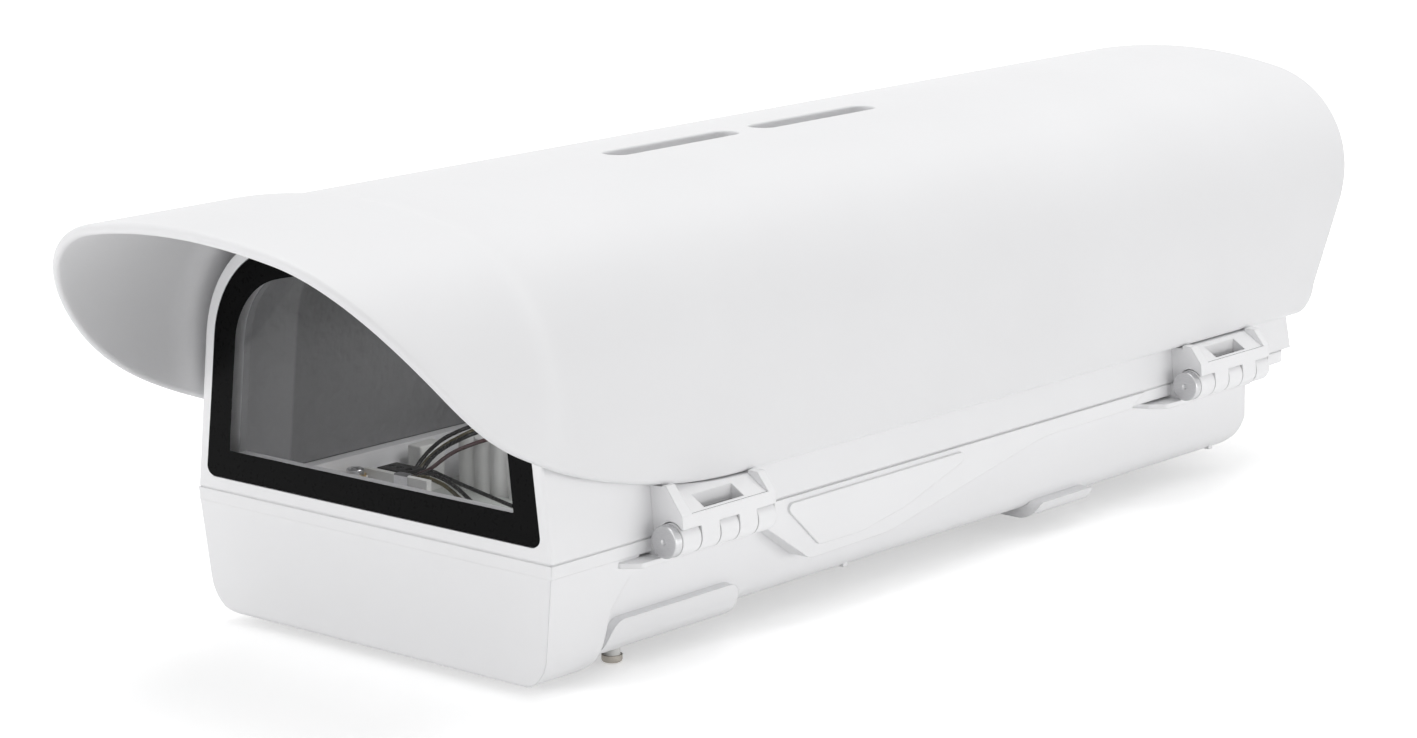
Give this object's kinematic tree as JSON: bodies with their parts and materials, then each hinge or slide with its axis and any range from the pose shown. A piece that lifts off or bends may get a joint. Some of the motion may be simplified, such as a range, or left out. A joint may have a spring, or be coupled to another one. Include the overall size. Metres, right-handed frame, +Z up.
{
  "type": "security camera housing",
  "caption": "Outdoor camera housing with a side-hinged cover, a flat front window, an arched sunshield with a visor, an inner camera tray and cable glands at the rear.",
  "frame": {"origin": "middle of the bracket holes, on the lower face of the underside pad", "axes": "+X towards the hinges, +Y towards the rear and the cable glands, +Z up"},
  "size_m": [0.1586, 0.4551, 0.1279],
  "materials": {
    "lower_casing": "satin moulded plastic",
    "upper_casing": "satin moulded plastic",
    "sunshield": "satin moulded plastic",
    "window": "clear flat glass",
    "window_gasket": "black",
    "lid_seal": "black rubber",
    "hinge_pin": "turned",
    "screw_steel": "plain steel",
    "foot_metal": "plated",
    "rubber_black": "black rubber",
    "brass": "turned brass",
    "pale_plastic": "moulded",
    "tray_metal": "folded sheet",
    "board": "coated board",
    "clip_metal": "bright",
    "black_plastic": "moulded",
    "module_plastic": "moulded",
    "wire_black": "insulation",
    "wire_olive": "insulation",
    "wire_brown": "insulation",
    "gland_plastic": "moulded"
  },
  "bodies": {
    "base": {"board_screws": "screw_steel", "bracket_inserts": "brass", "camera_tray": "tray_metal", "closing_inserts": "brass", "earth_screw": "screw_steel", "earth_tag": "brass", "foot_screws": "foot_metal", "foot_spacers": "pale_plastic", "gland_body_1": "gland_plastic", "gland_body_2": "gland_plastic", "gland_body_3": "gland_plastic", "gland_cap_1": "gland_plastic", "gland_cap_2": "gland_plastic", "gland_cap_3": "gland_plastic", "gland_locknut_1": "gland_plastic", "gland_locknut_2": "gland_plastic", "gland_locknut_3": "gland_plastic", "gland_seal_1": "rubber_black", "gland_seal_2": "rubber_black", "gland_seal_3": "rubber_black", "lid_seal": "lid_seal", "lower_casing": "lower_casing", "plinth_clip": "clip_metal", "power_module": "module_plastic", "relay": "pale_plastic", "terminal_block": "black_plastic", "terminal_plinth": "pale_plastic", "terminal_screws": "clip_metal", "tray_screws": "screw_steel", "wire_black_long": "wire_black", "wire_black_low": "wire_black", "wire_black_middle": "wire_black", "wire_black_rear": "wire_black", "wire_brown": "wire_brown", "wire_olive_low": "wire_olive", "wire_olive_rear": "wire_olive", "wire_socket": "black_plastic", "wiring_board": "board"},
    "cover": {"upper_casing": "upper_casing", "window": "window", "window_gasket": "window_gasket", "sunshield_screw_front": "screw_steel", "sunshield_screw_rear": "screw_steel", "sunshield_washers": "screw_steel", "sunshield_spacers": "rubber_black", "sunshield_inserts": "brass", "closing_screw_front": "screw_steel", "closing_screw_rear": "screw_steel", "closing_screw_collars": "pale_plastic"},
    "sunshield": {"sunshield": "sunshield"},
    "front_pin": {"front_hinge_pin": "hinge_pin"},
    "rear_pin": {"rear_hinge_pin": "hinge_pin"},
    "camera_clamp": {"camera_screw": "screw_steel", "camera_screw_washer": "screw_steel"}
  },
  "joints": [
    {"name": "cover_hinge", "type": "hinge", "parent": "base", "child": "cover", "pos_m": [0.0743, 0, 0.0323], "axis": [0, 1, 0], "range_deg": [0, 100]},
    {"name": "sunshield_slide", "type": "slide", "parent": "cover", "child": "sunshield", "axis": [0, 1, 0], "range_m": [0, 0.043]},
    {"name": "front_pin_slide", "type": "slide", "parent": "base", "child": "front_pin", "axis": [0, -1, 0], "range_m": [0, 0.042]},
    {"name": "rear_pin_slide", "type": "slide", "parent": "base", "child": "rear_pin", "axis": [0, -1, 0], "range_m": [0, 0.042]},
    {"name": "camera_screw_slide", "type": "slide", "parent": "base", "child": "camera_clamp", "axis": [0, 1, 0], "range_m": [-0.036, 0.056]}
  ]
}
